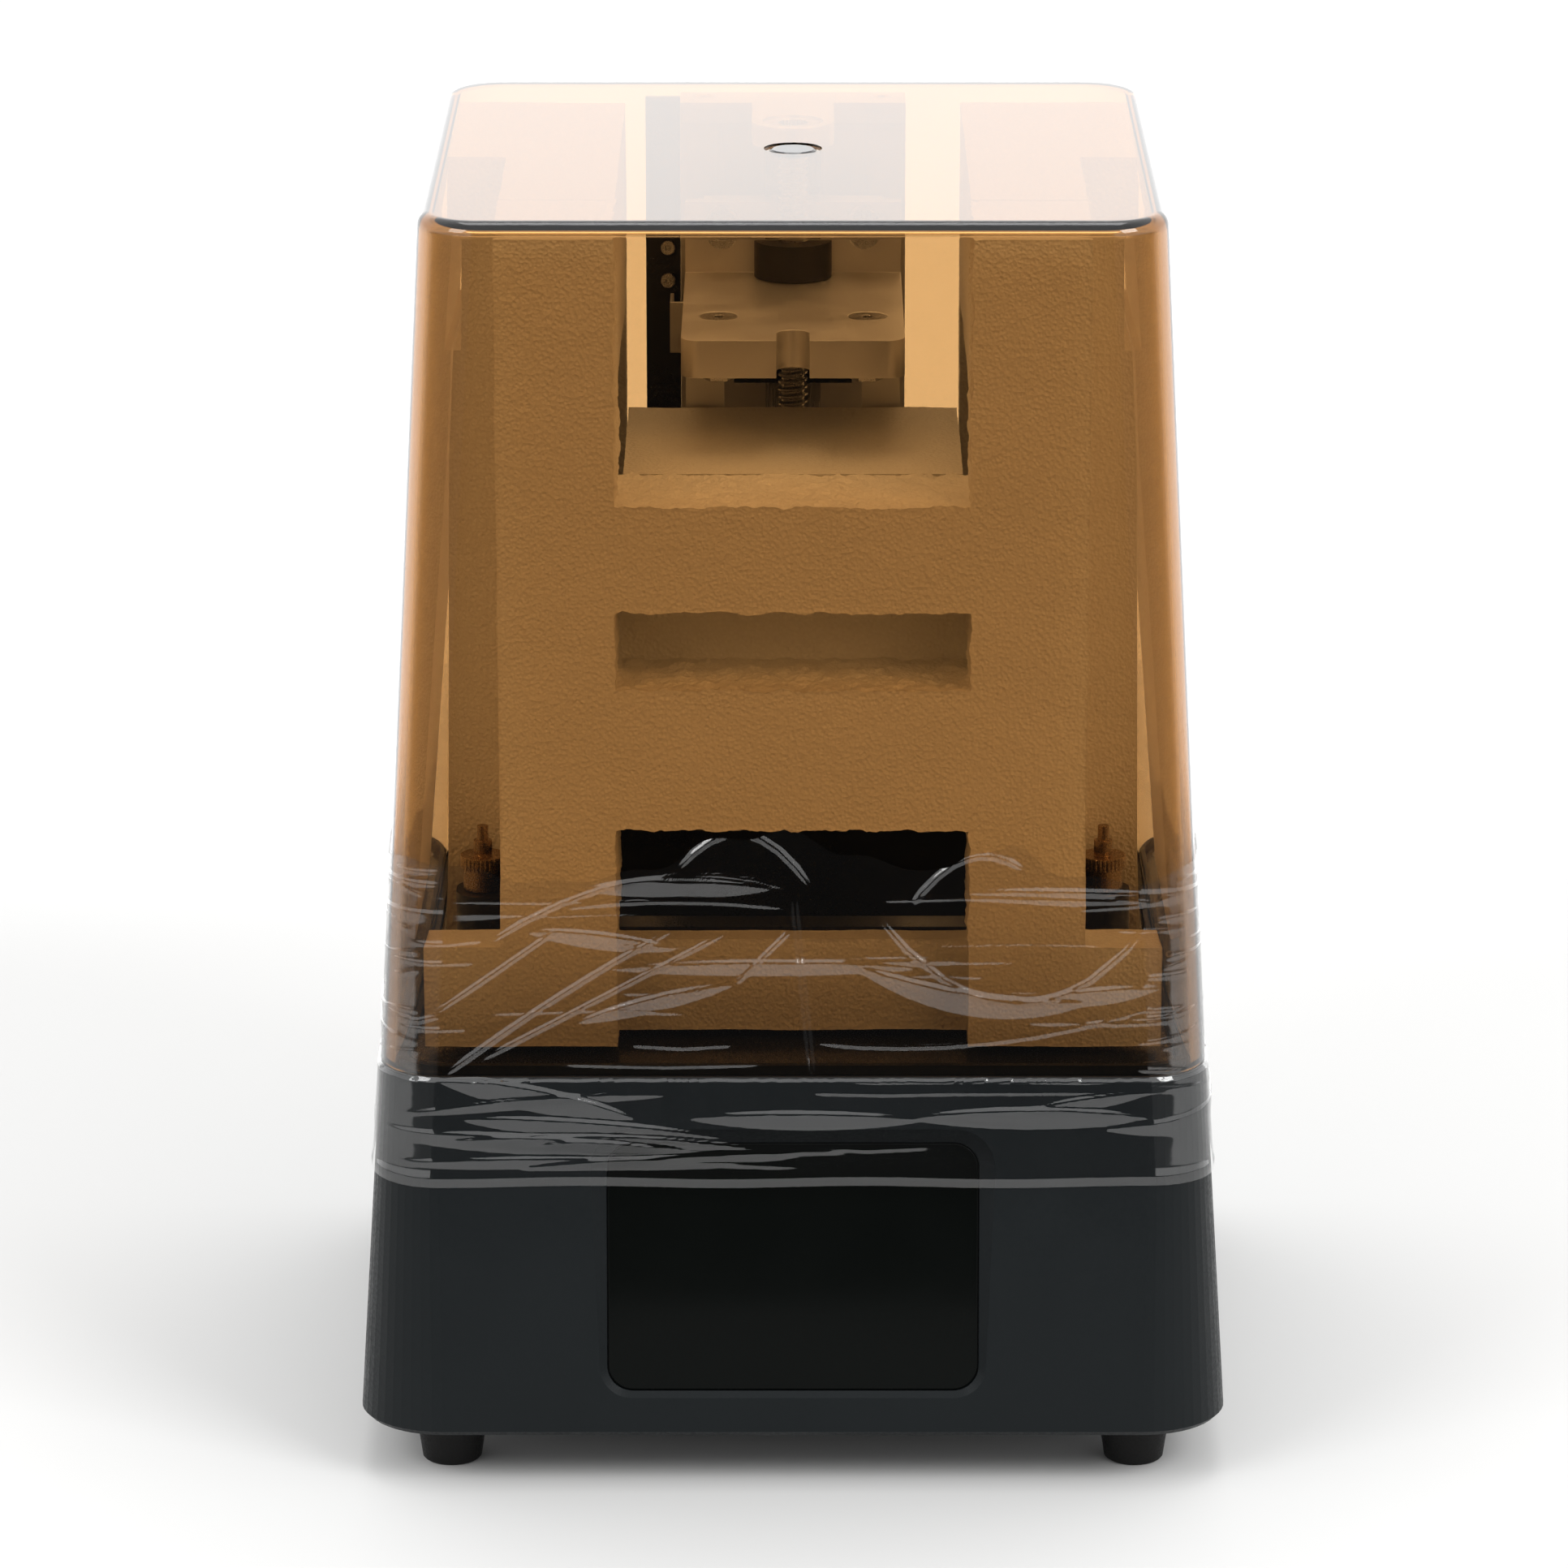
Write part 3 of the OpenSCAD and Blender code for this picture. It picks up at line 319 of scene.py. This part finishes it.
def cover_piece():
    corner, side = 18, 6
    outer = []
    edge = 0.0035
    for t in (0, 0.04, 0.5, 0.96, 1):
        z = lerp(COVER_LOW + 0.0004, TOP_Z - edge, t)
        outer.append((cover_half(z), lerp(0.015, 0.016, t), z))
    start = cover_half(TOP_Z - edge)
    for a in range(10, 91, 10):
        draw = edge * (1 - math.cos(math.radians(a)))
        outer.append((start - draw, 0.016 - draw, TOP_Z - edge + edge * math.sin(math.radians(a))))
    inner = []
    in_edge, top = edge - 0.0018, TOP_Z - WALL
    start = cover_half(top - in_edge) - WALL
    for a in range(90, -1, -15):
        draw = in_edge * (1 - math.cos(math.radians(a)))
        inner.append((start - draw, 0.0136 - draw, top - in_edge + in_edge * math.sin(math.radians(a))))
    for t in (0.96, 0.5, 0.04, 0):
        z = lerp(COVER_LOW + 0.0004, top - in_edge, t)
        inner.append((cover_half(z) - WALL, lerp(0.0126, 0.0136, t), z))
    low_out = (cover_half(COVER_LOW) - 0.0004, 0.0146, COVER_LOW)
    low_in = (cover_half(COVER_LOW) - WALL + 0.0004, 0.013, COVER_LOW)

    def ring(level):
        return [(x, y, level[2]) for x, y, _, _ in square_ring(level[0], level[1], corner, side)]

    def circle(r, z):
        spread = ring((0.09, 0.0125, 0))
        return [(r * x / math.hypot(x, y), r * y / math.hypot(x, y), z) for x, y, _ in spread]

    def between(a, b, t):
        return [tuple(lerp(p, q, t) for p, q in zip(u, v)) for u, v in zip(a, b)]

    rings = [ring(low_in), ring(low_out)] + [ring(v) for v in outer]
    rim = circle(PLUG_R, TOP_Z)
    last = rings[-1]
    rings += [between(last, rim, t) for t in (0.02, 0.3, 0.7, 0.95)]
    rings += [rim, circle(PLUG_R, TOP_Z - PLUG_LEDGE)]
    rings += [circle(HOLE_R, TOP_Z - PLUG_LEDGE), circle(HOLE_R, TOP_Z - WALL)]
    first = ring(inner[0])
    hole = rings[-1]
    rings += [between(hole, first, t) for t in (0.05, 0.3, 0.7, 0.98)]
    rings += [ring(v) for v in inner]
    rings.append(rings[0])
    verts, faces = loft(rings)
    piece = mesh_object("cover_amber", verts, faces)
    weld = bmesh.new()
    weld.from_mesh(piece.data)
    bmesh.ops.remove_doubles(weld, verts=weld.verts, dist=1e-6)
    bmesh.ops.recalc_face_normals(weld, faces=weld.faces)
    for e in weld.edges:
        e.smooth = e.calc_face_angle(0) < math.radians(35)
    weld.to_mesh(piece.data)
    weld.free()
    weighted = piece.modifiers.new("normals", "WEIGHTED_NORMAL")
    weighted.keep_sharp = True
    piece.data.materials.append(amber("amber_cover"))
    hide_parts("cover_shell")
    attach(piece, "cover")
    return piece


cover_piece()


# ---------------------------------------------------------------- packing foam
def foam_finish():
    made, g = material("foam")
    where = g.add("ShaderNodeTexCoord").outputs["Object"]
    cells = g.add("ShaderNodeTexVoronoi", {"Vector": where, "Scale": 1 / 0.0011})
    slow = g.noise(where, 0.03, 3.0)
    fine = g.noise(where, 0.0006, 2.0)
    tone = g.mix(slow, (0.86, 0.85, 0.81, 1), (0.94, 0.93, 0.90, 1))
    tone = g.mix(g.remap(cells.outputs["Distance"], 0.2, 0.6, 0.0, 0.25), tone, (0.72, 0.70, 0.66, 1))
    # Painted shade: the foam colour is darkened towards the bottom, from z 0.150 m down to 0.112 m, in
    # place of the dimmer light down there.
    split = g.add("ShaderNodeSeparateXYZ", {0: where})
    tone = g.mix(g.remap(split.outputs[2], 0.112, 0.150, 0.55, 0.0), tone, (0.22, 0.20, 0.18, 1))
    height = g.math("ADD", cells.outputs["Distance"], g.math("MULTIPLY", fine, 0.6))
    bumped = g.add("ShaderNodeBump", {"Strength": 0.75, "Distance": 0.0004, "Height": height})
    shine = g.remap(g.noise(where, 0.0008, 1.0), 0.62, 0.75, 0.55, 0.18)
    shader = g.add("ShaderNodeBsdfPrincipled", {
        "Base Color": tone, "Roughness": shine, "Normal": bumped.outputs[0], "Sheen Weight": 0.15,
        "Subsurface Weight": 0.0})
    g.add("ShaderNodeOutputMaterial", {"Surface": shader.outputs[0]})
    return made


FOAM = foam_finish()


def foam_piece(name, node, body, depth=7):
    """Foam block on the CAD block's shape, a little wavy, with torn edges round its openings."""
    mesh = NODES[node].data.copy()
    obj = bpy.data.objects.new(name, mesh)
    bpy.context.scene.collection.objects.link(obj)
    weld = obj.modifiers.new("weld", "WELD")
    weld.merge_threshold = 1e-6
    remesh = obj.modifiers.new("remesh", "REMESH")
    remesh.mode = "SHARP"
    remesh.octree_depth = depth
    remesh.scale = 0.95
    applied(obj)
    mesh = obj.data
    count = len(mesh.vertices)
    co, normals = np.zeros(count * 3), np.zeros(count * 3)
    mesh.vertices.foreach_get("co", co)
    mesh.vertices.foreach_get("normal", normals)
    co, normals = co.reshape(-1, 3), normals.reshape(-1, 3)
    for i in range(count):
        p = Vector(co[i])
        x, y, z = co[i]
        move = noise.noise(p * 60) * 0.00030 + noise.noise(p * 420) * 0.00010 - 0.0003
        co[i] += normals[i] * move
        if abs(x) > 0.0915:
            co[i][0] = math.copysign(min(0.0949, cover_half(z) - WALL - 0.0005), x)
        if node == "packing_foam_front" and abs(x) < 0.0475 and z > 0.141:
            tear = noise.noise(p * 230) * 0.0011 + noise.noise(p * 640) * 0.0007
            co[i] += (normals[i] * (0.9, 0, 1)) * tear
    mesh.vertices.foreach_set("co", co.ravel())
    mesh.update()
    mesh.shade_smooth()
    sharp_edges(mesh, 50)
    mesh.materials.clear()
    mesh.materials.append(FOAM)
    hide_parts(node)
    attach(obj, body)
    return obj


foam_piece("packing_foam_front_block", "packing_foam_front", "cover", depth=8)
foam_piece("packing_foam_left_block", "packing_foam_left", "cover")
foam_piece("packing_foam_right_block", "packing_foam_right", "cover")
foam_piece("packing_foam_pad_block", "packing_foam_pad", "carriage")


# ---------------------------------------------------------------- lead screw
def screw_piece():
    steps, lead, rows = 32, 0.002, 4
    crest_r, root_r, journal_r = 0.0040, 0.0031, 0.0025
    bottom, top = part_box("lead_screw")
    axis_y = (bottom.y + top.y) / 2
    low, high = 0.112, top.z
    profile = [crest_r, crest_r, root_r, root_r]
    turns = int(round((high - low) / lead)) - 1
    rings = []
    for k in range(turns * rows + 1):
        ring = []
        for i in range(steps):
            z = low + lead * 0.5 + k * lead / rows + lead * i / steps
            ring.append((profile[k % rows], i, z))
        rings.append(ring)
    verts = []
    faces = []

    def at(r, i, z):
        a = 2 * math.pi * i / steps
        return (r * math.cos(a), axis_y + r * math.sin(a), z)

    for k, ring in enumerate(rings):
        for r, i, z in ring:
            verts.append(at(r, i, z))
    n = steps
    for k in range(len(rings) - 1):
        for i in range(n - 1):
            faces.append((k * n + i, k * n + i + 1, (k + 1) * n + i + 1, (k + 1) * n + i))
        if k + rows < len(rings):
            faces.append((k * n + n - 1, (k + rows) * n, (k + rows + 1) * n if k + rows + 1 < len(rings)
                          else (k + rows) * n, (k + 1) * n + n - 1))
    piece = mesh_object("lead_screw_thread", verts, faces, smooth=False)
    plain = (
        (crest_r, low, low + lead * 0.9),
        (journal_r, bottom.z, low),
        (crest_r, high - lead * 1.6, high),
    )
    for r, a, b in plain:
        rings = [[at(r * s, i, z) for i in range(steps)] for s, z in
                 ((0.9, a), (1.0, a + 0.0003), (1.0, b - 0.0003), (0.9, b))]
        v, f = loft(rings, closed_ends=True)
        off = len(verts)
        verts = verts + v
        faces = faces + [tuple(i + off for i in q) for q in f]
    old = piece.data
    mesh = bpy.data.meshes.new("lead_screw_thread")
    mesh.from_pydata(verts, [], faces)
    mesh.validate()
    piece.data = mesh
    bpy.data.meshes.remove(old)
    outward(piece)
    piece.data.materials.append(MADE["screw_steel"])
    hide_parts("lead_screw")
    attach(piece, "screw")


screw_piece()


# ---------------------------------------------------------------- stretch film
def film_finish():
    made, g = material("stretch_film")
    where = g.add("ShaderNodeTexCoord").outputs["Object"]
    fine = g.noise(g.stretched((1, 1, 6)), 0.03, 2.0, 0.5)
    bumped = g.add("ShaderNodeBump", {"Strength": 0.1, "Distance": 0.0002, "Height": fine})
    clear = g.add("ShaderNodeBsdfTransparent", {"Color": (0.91, 0.91, 0.91, 1)})
    shine = g.add("ShaderNodeBsdfAnisotropic", {"Color": (1, 1, 1, 1), "Roughness": 0.06,
                                                "Normal": bumped.outputs[0]})
    both = g.add("ShaderNodeMixShader", {0: schlick(g, 0.075), 1: clear.outputs[0], 2: shine.outputs[0]})
    g.add("ShaderNodeOutputMaterial", {"Surface": both.outputs[0]})
    return made


FILM_LOW, FILM_HIGH = 0.082, 0.168
FILM_R = 0.0165
FILM_GAP = 0.0005

# Main creases on the front: half width and height of the ridge, its ends, and its rise
# between them, in mm.
FRONT_CREASES = (
    (0.45, 0.50, (-80, 145), (0, 160), 10),
    (0.55, 0.60, (-30, 165), (5, 160), 12),
    (0.45, 0.40, (0, 160), (5, 110), 0),
    (0.50, 0.50, (20, 155), (95, 155), -25),
    (0.55, 0.60, (30, 155), (60, 165), 8),
    (0.45, 0.45, (-90, 110), (-30, 150), 2),
    (0.40, 0.40, (-80, 115), (-15, 150), 0),
    (0.40, 0.35, (-95, 125), (-60, 150), 0),
    (0.40, 0.35, (-15, 135), (0, 150), 0),
    (0.40, 0.35, (-60, 155), (0, 155), 2),
    (0.40, 0.40, (5, 120), (95, 130), -5),
)

# Largest slack patches on the front: centre, half length, half width, slope and bow, in mm.
FRONT_PATCHES = (
    (-30, 160, 25, 2.5, 0, 0),
    (45, 135, 30, 3.0, -5, -5),
    (-35, 130, 20, 2.0, 5, 0),
    (-65, 105, 25, 3.0, -5, 0),
    (60, 100, 30, 2.5, 0, 0),
)


def arc_points(start, end, rise, count=9):
    """Points in metres on a shallow arc between two points given in mm."""
    points = []
    for k in range(count):
        t = k / (count - 1)
        across = lerp(start[0], end[0], t)
        up = lerp(start[1], end[1], t) + 4 * rise * t * (1 - t)
        points.append((across * MM, up * MM))
    return points


def ridge(across, up, width, size, points):
    """Height of a thin crease that follows a line of points and dies out at its ends."""
    near = np.full(across.shape, 1.0)
    where = np.zeros(across.shape)
    last = len(points) - 1
    for k in range(last):
        (x0, z0), (x1, z1) = points[k], points[k + 1]
        dx, dz = x1 - x0, z1 - z0
        t = np.clip(((across - x0) * dx + (up - z0) * dz) / (dx * dx + dz * dz), 0, 1)
        away = np.hypot(across - x0 - t * dx, up - z0 - t * dz)
        closer = away < near
        near = np.where(closer, away, near)
        where = np.where(closer, (k + t) / last, where)
    ends = np.clip(np.minimum(where, 1 - where) * 8, 0, 1)
    return size * ends * np.exp(-(near / width) ** 2)


def lens(across, up, x0, z0, length, width, slope, bow, tilt):
    """A slack patch with pointed ends: leans out evenly towards its top edge, then drops back."""
    u = np.clip((across - x0) / length, -1, 1)
    half = np.maximum(width * (1 - u * u) ** 0.8, 1e-6)
    t = (up - z0 - slope * u - bow * (1 - u * u)) / half
    drop = np.clip(0.0006 / half, 0.2, 4)
    rise = np.clip((t + 1) / 2, 0, 1)
    fall = np.clip((1 + drop - t) / drop, 0, 1)
    fall = fall * fall * (3 - 2 * fall)
    return tilt * 2 * half * rise * fall * (np.abs(u) < 1)


def film_top(p):
    """Upper edge of the film, uneven all round and higher at two places on the front."""
    high = FILM_HIGH - 0.003
    high += 0.0022 * np.sin(p * 47 + 1.0) + 0.0013 * np.sin(p * 121) + 0.0007 * np.sin(p * 310 + 2.0)
    high += 0.009 * np.exp(-((p + 0.011) / 0.019) ** 4) + 0.006 * np.exp(-((p - 0.053) / 0.011) ** 4)
    return high


def film_piece():
    random.seed(11)
    corner, side, rows = 30, 300, 190
    start = square_ring(cover_half(SEAM_Z), FILM_R, corner, side)
    steps = [math.dist(a[:2], b[:2]) for a, b in zip(start, start[1:] + start[:1])]
    run = np.concatenate([[0.0], np.cumsum(steps)])
    around = run[-1]
    centre = run[side // 2]
    p = (run[:-1] - centre + around / 2) % around - around / 2
    top = film_top(p)
    low = FILM_LOW + 0.0003 * np.sin(p * 90)
    t = np.linspace(0, 1, rows)[:, None]
    up = low + (top - low) * t
    across = np.broadcast_to(p, up.shape)
    height = np.full(up.shape, 0.0002)
    for width, size, start_at, end_at, rise in FRONT_CREASES:
        height += ridge(across, up, width * MM, size * MM, arc_points(start_at, end_at, rise))
    for values in FRONT_PATCHES:
        height += lens(across, up, *[v * MM for v in values], 0.20)
    for k in range(14):
        low_z, high_z = (0.087, 0.107) if k % 3 else (0.115, 0.158)
        height += lens(across, up, random.uniform(-0.080, 0.080), random.uniform(low_z, high_z),
                       random.uniform(0.016, 0.042), random.uniform(0.0012, 0.0026),
                       random.uniform(-0.003, 0.003), random.uniform(-0.001, 0.001), 0.20)

    def away(x0):
        return (across - x0 + around / 2) % around - around / 2

    front = around / 8
    for _ in range(70):
        x0 = random.uniform(front, around - front)
        height += lens(away(x0), up, 0, random.uniform(0.086, 0.160), random.uniform(0.012, 0.045),
                       random.uniform(0.0008, 0.0028), random.uniform(-0.004, 0.004),
                       random.uniform(-0.003, 0.003), 0.16)
    for k in range(60):
        x0 = (0.25 + 0.5 * (k % 4)) * around / 2 + random.uniform(-0.016, 0.014)
        z0 = random.uniform(0.112, 0.164)
        reach = random.uniform(0.005, 0.014)
        tip = random.uniform(-0.002, 0.003)
        height += ridge(away(x0), up, random.uniform(0.0003, 0.0005), random.uniform(0.0002, 0.0005),
                        [(-reach, z0), (0, z0 + 0.3 * tip), (reach, z0 + tip)])
    for _ in range(22):
        x0 = random.uniform(-front, front)
        z0 = random.uniform(0.086, 0.158)
        reach = random.uniform(0.010, 0.035)
        height += ridge(away(x0), up, 0.00035, random.uniform(0.00010, 0.00028),
                        [(-reach, z0), (0, z0 + random.uniform(-0.001, 0.001)), (reach, z0)])
    quarter = around / 4
    from_corner = (across - quarter / 2) % quarter
    bend = np.minimum(from_corner, quarter - from_corner)
    height *= 0.4 + 0.6 * np.clip((bend - 0.010) / 0.012, 0, 1)
    hem = np.clip((up - low) / 0.0025, 0, 1) * np.clip((low + 0.0045 - up) / 0.002, 0, 1)
    height += 0.0004 * hem
    rings = []
    for k in range(rows):
        ring = []
        for i, (x, y, nx, ny) in enumerate(start):
            z = up[k, i]
            half = max(base_half(z) if z <= SEAM_Z else 0, cover_half(z)) + FILM_GAP
            grow = half / cover_half(SEAM_Z)
            h = min(height[k, i], 0.0022)
            ring.append((x * grow + nx * h, y * grow + ny * h, z))
        rings.append(ring)
    verts, faces = loft(rings)
    piece = mesh_object("stretch_film_wrap", verts, faces)
    piece.data.materials.append(film_finish())
    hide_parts("packing_film")
    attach(piece, "cover")
    width = FILM_HIGH - FILM_LOW


film_piece()


# ---------------------------------------------------------------- CAD nodes that stay
def crisp(obj, width, segments=2):
    """Softens a CAD node's hard edges by a small bevel and evens out its shading."""
    weld = obj.modifiers.new("weld", "WELD")
    weld.merge_threshold = 1e-6
    flat = obj.modifiers.new("flat", "DECIMATE")
    flat.decimate_type = "DISSOLVE"
    flat.angle_limit = math.radians(0.5)
    bevel = obj.modifiers.new("bevel", "BEVEL")
    bevel.width = width
    bevel.segments = segments
    bevel.limit_method = "ANGLE"
    bevel.angle_limit = math.radians(35)
    bevel.miter_outer = "MITER_ARC"
    normals = obj.modifiers.new("normals", "WEIGHTED_NORMAL")
    normals.keep_sharp = True


BEVEL = {"base_shell": 0.0006, "rubber_feet": 0.0005, "platform_arm": 0.0005, "screen_glass": 0.0003}
for part in frame["record"]["subparts"]:
    node, slot = part["node"], part["material_slot"]
    obj = NODES[node]
    if obj.hide_render:
        continue
    if slot in MADE:
        obj.material_slots[0].material = MADE[slot]
    crisp(obj, BEVEL.get(node, 0.0002))
NODES["cover_plug"].material_slots[0].material = amber("amber_plug", (0.93, 0.82, 0.66), 0.002)


# ---------------------------------------------------------------- floor, world and lights
def stage():
    n, reach = 64, 1.6
    verts = [(0, 0, 0)] + [(reach * math.cos(2 * math.pi * i / n), reach * math.sin(2 * math.pi * i / n), 0)
                           for i in range(n)]
    faces = [(0, i + 1, (i + 1) % n + 1) for i in range(n)]
    floor = mesh_object("floor", verts, faces, smooth=False)
    made, g = material("floor")
    split = g.add("ShaderNodeSeparateXYZ", {0: g.add("ShaderNodeTexCoord").outputs["Object"]})
    x, y = split.outputs[0], split.outputs[1]
    far = g.remap(y, 0.33, 0.50, 1.0, 0.0)
    near = g.remap(y, -0.47, -0.44, 0.0, 1.0)
    wide = g.remap(g.math("ABSOLUTE", x), 0.55, 1.1, 1.0, 0.0)
    solid = g.math("MULTIPLY", g.math("MULTIPLY", far, near), wide)
    paper = g.add("ShaderNodeBsdfDiffuse", {"Color": (0.50, 0.50, 0.497, 1)})
    clear = g.add("ShaderNodeBsdfTransparent")
    both = g.add("ShaderNodeMixShader", {0: solid, 1: clear.outputs[0], 2: paper.outputs[0]})
    g.add("ShaderNodeOutputMaterial", {"Surface": both.outputs[0]})
    floor.data.materials.append(made)

    world = bpy.data.worlds.new("studio")
    bpy.context.scene.world = world
    world.use_nodes = True
    world.node_tree.nodes.clear()
    g = Graph(world.node_tree)
    split = g.add("ShaderNodeSeparateXYZ", {0: g.add("ShaderNodeTexCoord").outputs["Generated"]})
    x, y, z = split.outputs[0], split.outputs[1], split.outputs[2]
    beside = g.remap(g.math("ADD", g.math("ABSOLUTE", x), g.math("MULTIPLY", y, 0.24)), -0.02, 0.02)
    above = g.remap(z, 0.50, 0.56)
    room = g.math("MAXIMUM", beside, above)
    dimmed = g.math("SUBTRACT", 1.0, g.math("MULTIPLY", above, 0.7))
    behind = g.math("MULTIPLY", g.remap(y, -0.1, 0.5), dimmed)
    low = g.remap(z, 0.05, 0.15, 2.4, 2.05, smooth=False)
    aside = g.remap(z, -0.10, 0.02, 0.10, 1.4)
    lit = g.math("ADD", g.math("MULTIPLY", behind, g.math("SUBTRACT", low, aside)), aside)
    bright = g.math("ADD", g.math("MULTIPLY", room, lit), 0.03)
    seen = g.add("ShaderNodeLightPath").outputs["Is Camera Ray"]
    strength = g.math("ADD", g.math("MULTIPLY", seen, 1.05),
                      g.math("MULTIPLY", g.math("SUBTRACT", 1.0, seen), bright))
    back = g.add("ShaderNodeBackground", {"Color": (1, 1, 1, 1), "Strength": strength})
    g.add("ShaderNodeOutputWorld", {"Surface": back.outputs[0]})

    def soft(name, at, size, watts):
        lamp = bpy.data.lights.new(name, "AREA")
        lamp.shape = "RECTANGLE"
        lamp.size, lamp.size_y = size
        lamp.energy = watts
        obj = bpy.data.objects.new(name, lamp)
        bpy.context.scene.collection.objects.link(obj)
        obj.location = at
        aim = Vector((0, 0, 0.15)) - Vector(at)
        obj.rotation_euler = aim.to_track_quat("-Z", "Y").to_euler()
        obj.visible_camera = False

    soft("top_light", (0, 0.35, 1.7), (0.9, 0.7), 8)
    soft("left_light", (-1.2, -1.2, 1.3), (0.9, 0.9), 15)
    soft("right_light", (1.2, -1.2, 1.3), (0.9, 0.9), 25)


stage()
